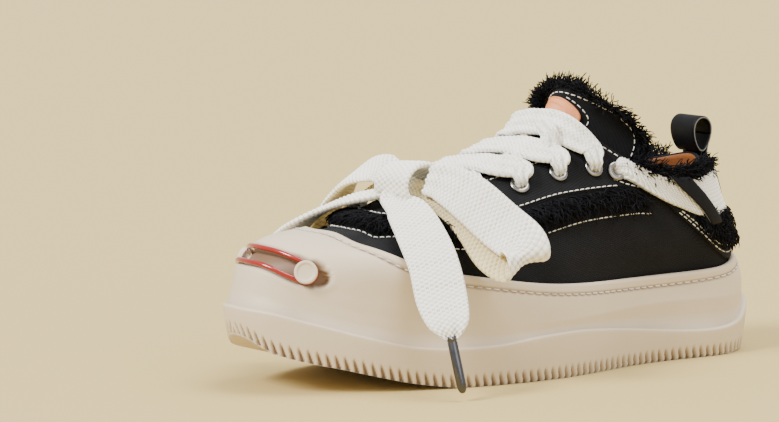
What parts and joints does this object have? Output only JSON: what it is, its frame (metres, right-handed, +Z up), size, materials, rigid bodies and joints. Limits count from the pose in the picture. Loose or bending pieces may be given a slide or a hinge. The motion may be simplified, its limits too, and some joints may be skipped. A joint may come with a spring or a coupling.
{
  "type": "canvas sneaker",
  "caption": "Left low canvas sneaker on a chunky ribbed cup sole, with frayed edges, a wide flat lace tied in a bow and passed round the heel, a heel pull loop and a toe slot with two buttons.",
  "frame": {"origin": "on the ground under the middle of the sole, which is the middle of the shoe's length and width", "axes": "+Z up, -Y towards the toe, +X towards the wearer's left, which is the outer side of this left shoe"},
  "size_m": [0.1539, 0.296, 0.1453],
  "materials": {
    "rubber": "matte cream, scuffed, tan in the grooves",
    "canvas": "near-black twill with pale contrast stitching",
    "yarn": "frayed black threads",
    "lining": "satin orange-brown",
    "patch": "satin peach with a ring emboss",
    "strap": "satin black with grey cut edges",
    "metal": "dark nickel",
    "red_band": "glossy red",
    "lace": "off-white flat knit"
  },
  "bodies": {
    "root": {"sole": "rubber", "upper": "canvas", "insole": "lining", "tongue": "canvas", "tongue_patch": "patch", "heel_patch": "canvas", "throat_fringe": "yarn", "collar_fringe_lateral": "yarn", "collar_fringe_medial": "yarn", "heel_fringe": "yarn", "tongue_fringe": "yarn", "eyelet_lateral_1": "metal", "eyelet_lateral_2": "metal", "eyelet_lateral_3": "metal", "eyelet_lateral_4": "metal", "eyelet_medial_1": "metal", "eyelet_medial_2": "metal", "eyelet_medial_3": "metal", "eyelet_medial_4": "metal", "side_eyelet_lateral": "metal", "side_eyelet_medial": "metal", "vent_eyelet_medial": "metal", "toe_button_lateral": "rubber", "toe_button_medial": "rubber", "toe_band": "red_band", "pull_loop": "strap", "keeper_lateral": "strap", "keeper_medial": "strap", "keeper_back": "strap", "lace_heel_band": "lace", "lace_crossings": "lace", "lace_knot": "lace", "lace_loop_lateral": "lace", "lace_loop_medial": "lace", "lace_end_lateral": "lace", "lace_end_medial": "lace", "aglet_lateral": "metal", "aglet_medial": "metal"}
  },
  "joints": []
}
